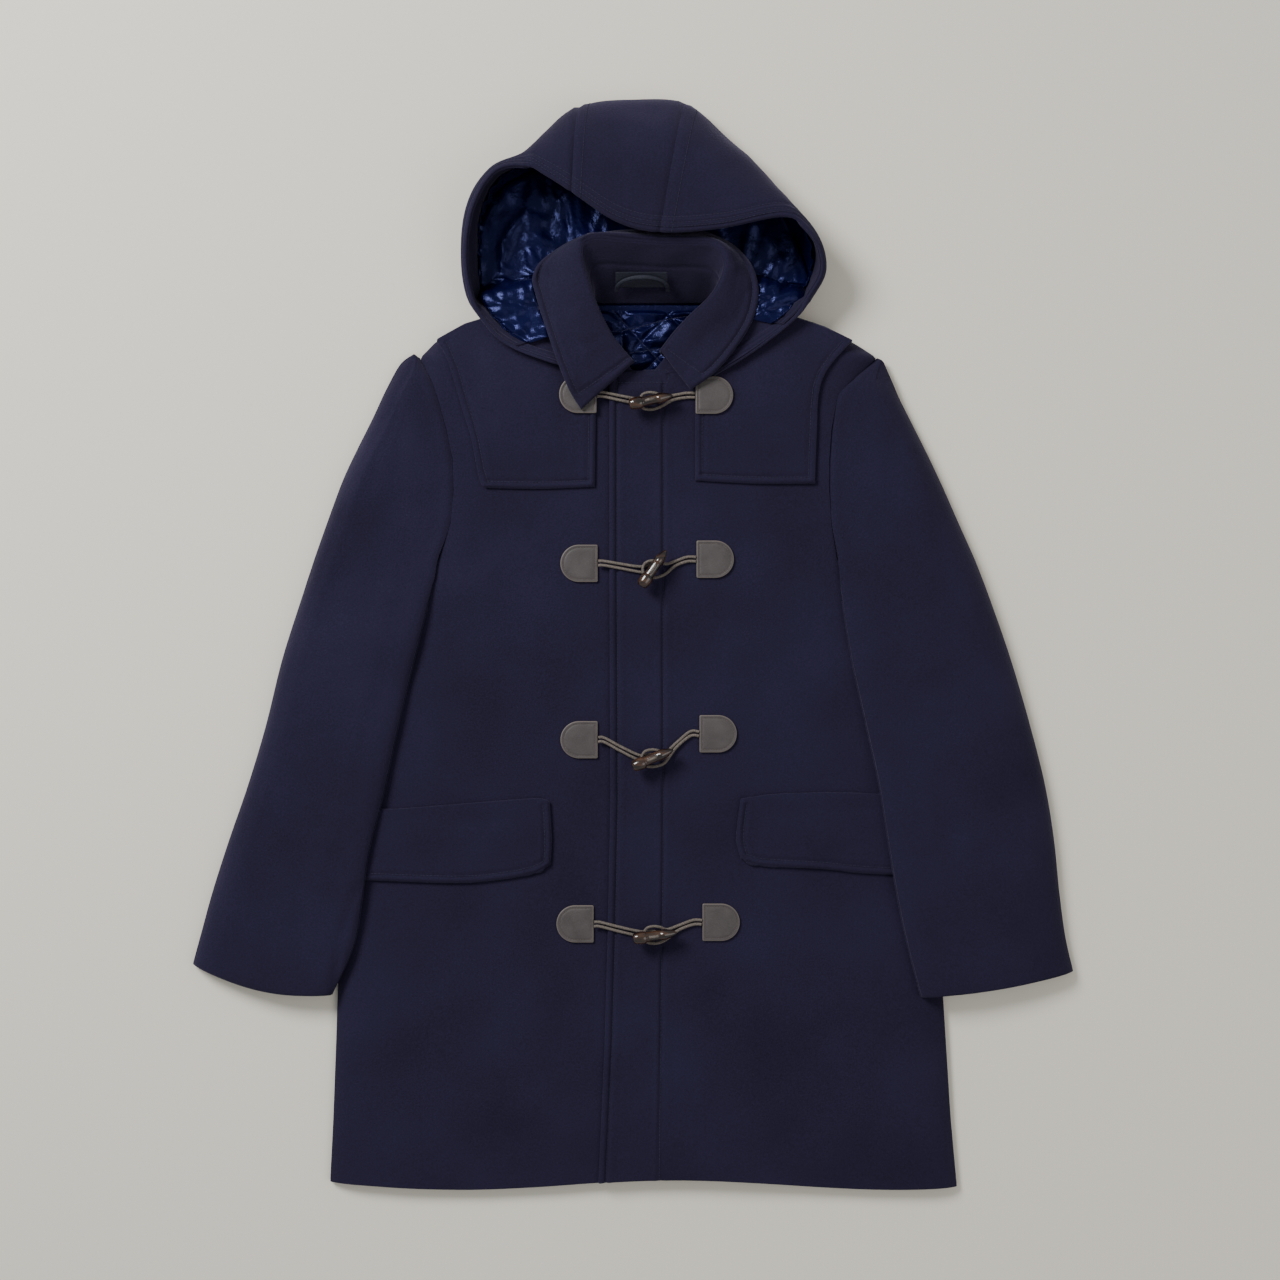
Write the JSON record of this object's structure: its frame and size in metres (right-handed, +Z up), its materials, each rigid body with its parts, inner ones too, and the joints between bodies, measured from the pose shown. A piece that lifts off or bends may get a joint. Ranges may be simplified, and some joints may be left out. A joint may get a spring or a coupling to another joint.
{
  "type": "duffle coat",
  "caption": "Hooded wool duffle coat laid flat on its back, fronts closed with horn toggles on cord loops and leather tabs, quilted satin showing inside the neck.",
  "frame": {"origin": "centre of the coat's outline, on the surface it lies on", "axes": "+Z up out of the front, +Y from hem to hood, +X towards the wearer's left sleeve"},
  "size_m": [0.878, 1.0845, 0.0687],
  "materials": {
    "wool": "matt",
    "satin": "satin",
    "leather": "satin",
    "cord": "matt",
    "horn": "gloss",
    "loop": "matt",
    "patch": "matt"
  },
  "bodies": {
    "root": {"back": "wool", "collar_leaf": "wool", "collar_stand": "wool", "cord_1_left": "cord", "cord_1_right": "cord", "cord_2_left": "cord", "cord_2_right": "cord", "cord_3_left": "cord", "cord_3_right": "cord", "cord_4_left": "cord", "cord_4_right": "cord", "flap_left": "wool", "flap_right": "wool", "front_left": "wool", "front_right": "wool", "hanger_loop": "loop", "hood_centre": "wool", "hood_facing": "wool", "hood_lining": "satin", "hood_side_left": "wool", "hood_side_right": "wool", "neck_lining": "satin", "neck_patch": "patch", "sleeve_left_top": "wool", "sleeve_left_under": "wool", "sleeve_right_top": "wool", "sleeve_right_under": "wool", "tab_1_left": "leather", "tab_1_right": "leather", "tab_2_left": "leather", "tab_2_right": "leather", "tab_3_left": "leather", "tab_3_right": "leather", "tab_4_left": "leather", "tab_4_right": "leather", "toggle_1": "horn", "toggle_2": "horn", "toggle_3": "horn", "toggle_4": "horn", "yoke_left": "wool", "yoke_right": "wool"}
  },
  "joints": []
}
